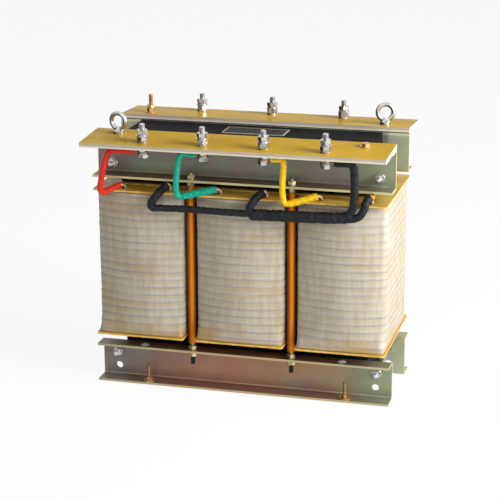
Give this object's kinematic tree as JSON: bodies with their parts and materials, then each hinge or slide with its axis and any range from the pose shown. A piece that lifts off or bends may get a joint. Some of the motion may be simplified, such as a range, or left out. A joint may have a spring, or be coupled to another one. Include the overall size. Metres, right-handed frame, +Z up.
{
  "type": "open-frame dry-type three-phase transformer",
  "caption": "Open-frame dry-type power transformer: taped coils on a laminated core, clamp channels, insulating terminal boards, eye bolts and sleeved leads.",
  "frame": {"origin": "on the floor, under the middle of the clamp channels", "axes": "+X along the channels and terminal boards, +Z up, -Y the side of the front terminal board with the winding leads"},
  "size_m": [0.54, 0.3226, 0.5059],
  "materials": {
    "lamination": "black varnish, semi-gloss",
    "coil_tape": "varnished woven tape",
    "end_plate": "laminated epoxy glass sheet",
    "zinc_channel": "yellow passivated zinc",
    "epoxy_board": "polished laminated epoxy glass board",
    "bright_steel": "bright nickel or zinc plate",
    "brass_stud": "yellow zinc or brass",
    "zinc_rod": "pale yellow zinc",
    "insulating_tube": "wound epoxy glass tube",
    "rating_plate": "dark glossy plate with a light border, no text",
    "sleeve_red": "woven silicone sleeve",
    "sleeve_green": "woven silicone sleeve",
    "sleeve_yellow": "woven silicone sleeve",
    "harness_tape": "black wrapped tape"
  },
  "bodies": {
    "root": {"core_yoke_top": "lamination", "core_yoke_bottom": "lamination", "core_limbs": "lamination", "coil_left": "coil_tape", "coil_centre": "coil_tape", "coil_right": "coil_tape", "spacer_strips": "end_plate", "channel_top_front": "zinc_channel", "channel_top_rear": "zinc_channel", "channel_bottom_front": "zinc_channel", "channel_bottom_rear": "zinc_channel", "terminal_board_front": "epoxy_board", "terminal_board_rear": "epoxy_board", "lifting_eye_front": "bright_steel", "lifting_eye_rear": "bright_steel", "board_screw_front": "bright_steel", "board_stud_rear": "brass_stud", "tie_rods_front": "zinc_rod", "tie_rods_rear": "zinc_rod", "tie_tubes_front": "insulating_tube", "tie_tubes_rear": "insulating_tube", "clamp_bolts_top": "bright_steel", "clamp_bolts_bottom": "bright_steel", "foot_studs": "zinc_rod", "flange_plugs": "bright_steel", "rating_plate": "rating_plate", "lead_red": "sleeve_red", "lead_green": "sleeve_green", "lead_yellow": "sleeve_yellow", "lead_neutral": "harness_tape", "end_plate_top_left": "end_plate", "end_plate_bottom_left": "end_plate", "end_plate_top_centre": "end_plate", "end_plate_bottom_centre": "end_plate", "end_plate_top_right": "end_plate", "end_plate_bottom_right": "end_plate", "terminal_front_1": "bright_steel", "terminal_front_2": "bright_steel", "terminal_front_3": "bright_steel", "terminal_front_4": "bright_steel", "terminal_rear_1": "bright_steel", "terminal_rear_2": "bright_steel", "terminal_rear_3": "bright_steel"}
  },
  "joints": []
}
